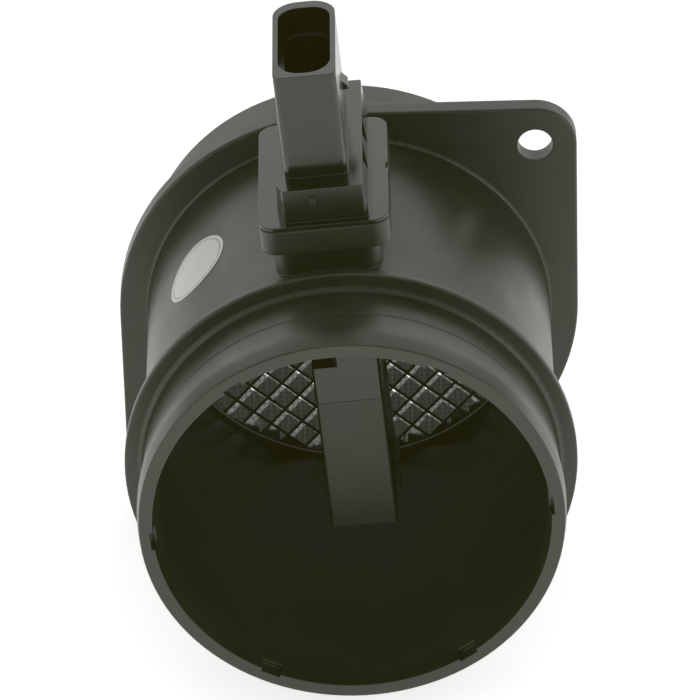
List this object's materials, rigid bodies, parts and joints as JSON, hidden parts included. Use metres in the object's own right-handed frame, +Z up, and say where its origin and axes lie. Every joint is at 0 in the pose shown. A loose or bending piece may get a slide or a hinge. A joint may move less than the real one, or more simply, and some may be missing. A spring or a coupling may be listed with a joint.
{
  "type": "mass airflow sensor",
  "caption": "Flanged intake duct with a flow grid and a plug-in hot-film module whose probe hangs in the bore and whose connector stands on top",
  "frame": {"origin": "on the duct's axis, at the flange's mating face", "axes": "+Z up, parallel to the flange's straight edges and 4.5 degrees from the connector's lean; the hose spigot points to -Y and the inlet spigot to +Y"},
  "size_m": [0.096, 0.1001, 0.1326],
  "materials": {
    "housing_plastic": "semi-gloss moulded black, glass-filled",
    "module_plastic": "semi-gloss moulded black",
    "grid_plastic": "satin moulded black",
    "screen_steel": "pressed stainless ring",
    "seal_rubber": "black nitrile",
    "carrier_aluminium": "stamped, plain",
    "board_laminate": "green solder mask",
    "chip_resin": "moulded resin",
    "capacitor_ceramic": "fired ceramic",
    "sensing_plastic": "moulded black",
    "chip_silicon": "polished silicon",
    "bead_resin": "dipped epoxy",
    "lead_wire": "tinned wire",
    "link_aluminium": "bonded strip",
    "terminal_tin": "tin-plated brass"
  },
  "bodies": {
    "root": {"board_capacitors": "capacitor_ceramic", "bond_links": "link_aluminium", "carrier_plate": "carrier_aluminium", "channel_cover": "module_plastic", "channel_housing": "module_plastic", "circuit_board": "board_laminate", "electronics_cover": "module_plastic", "evaluation_chip": "chip_resin", "flow_grid": "grid_plastic", "intake_thermistor": "bead_resin", "module_body": "module_plastic", "module_seal": "seal_rubber", "screen_ring": "screen_steel", "sensing_carrier": "sensing_plastic", "sensing_chip": "chip_silicon", "terminal_1": "terminal_tin", "terminal_2": "terminal_tin", "terminal_3": "terminal_tin", "terminal_4": "terminal_tin", "terminal_5": "terminal_tin", "thermistor_leads": "lead_wire", "tube_housing": "housing_plastic"}
  },
  "joints": []
}
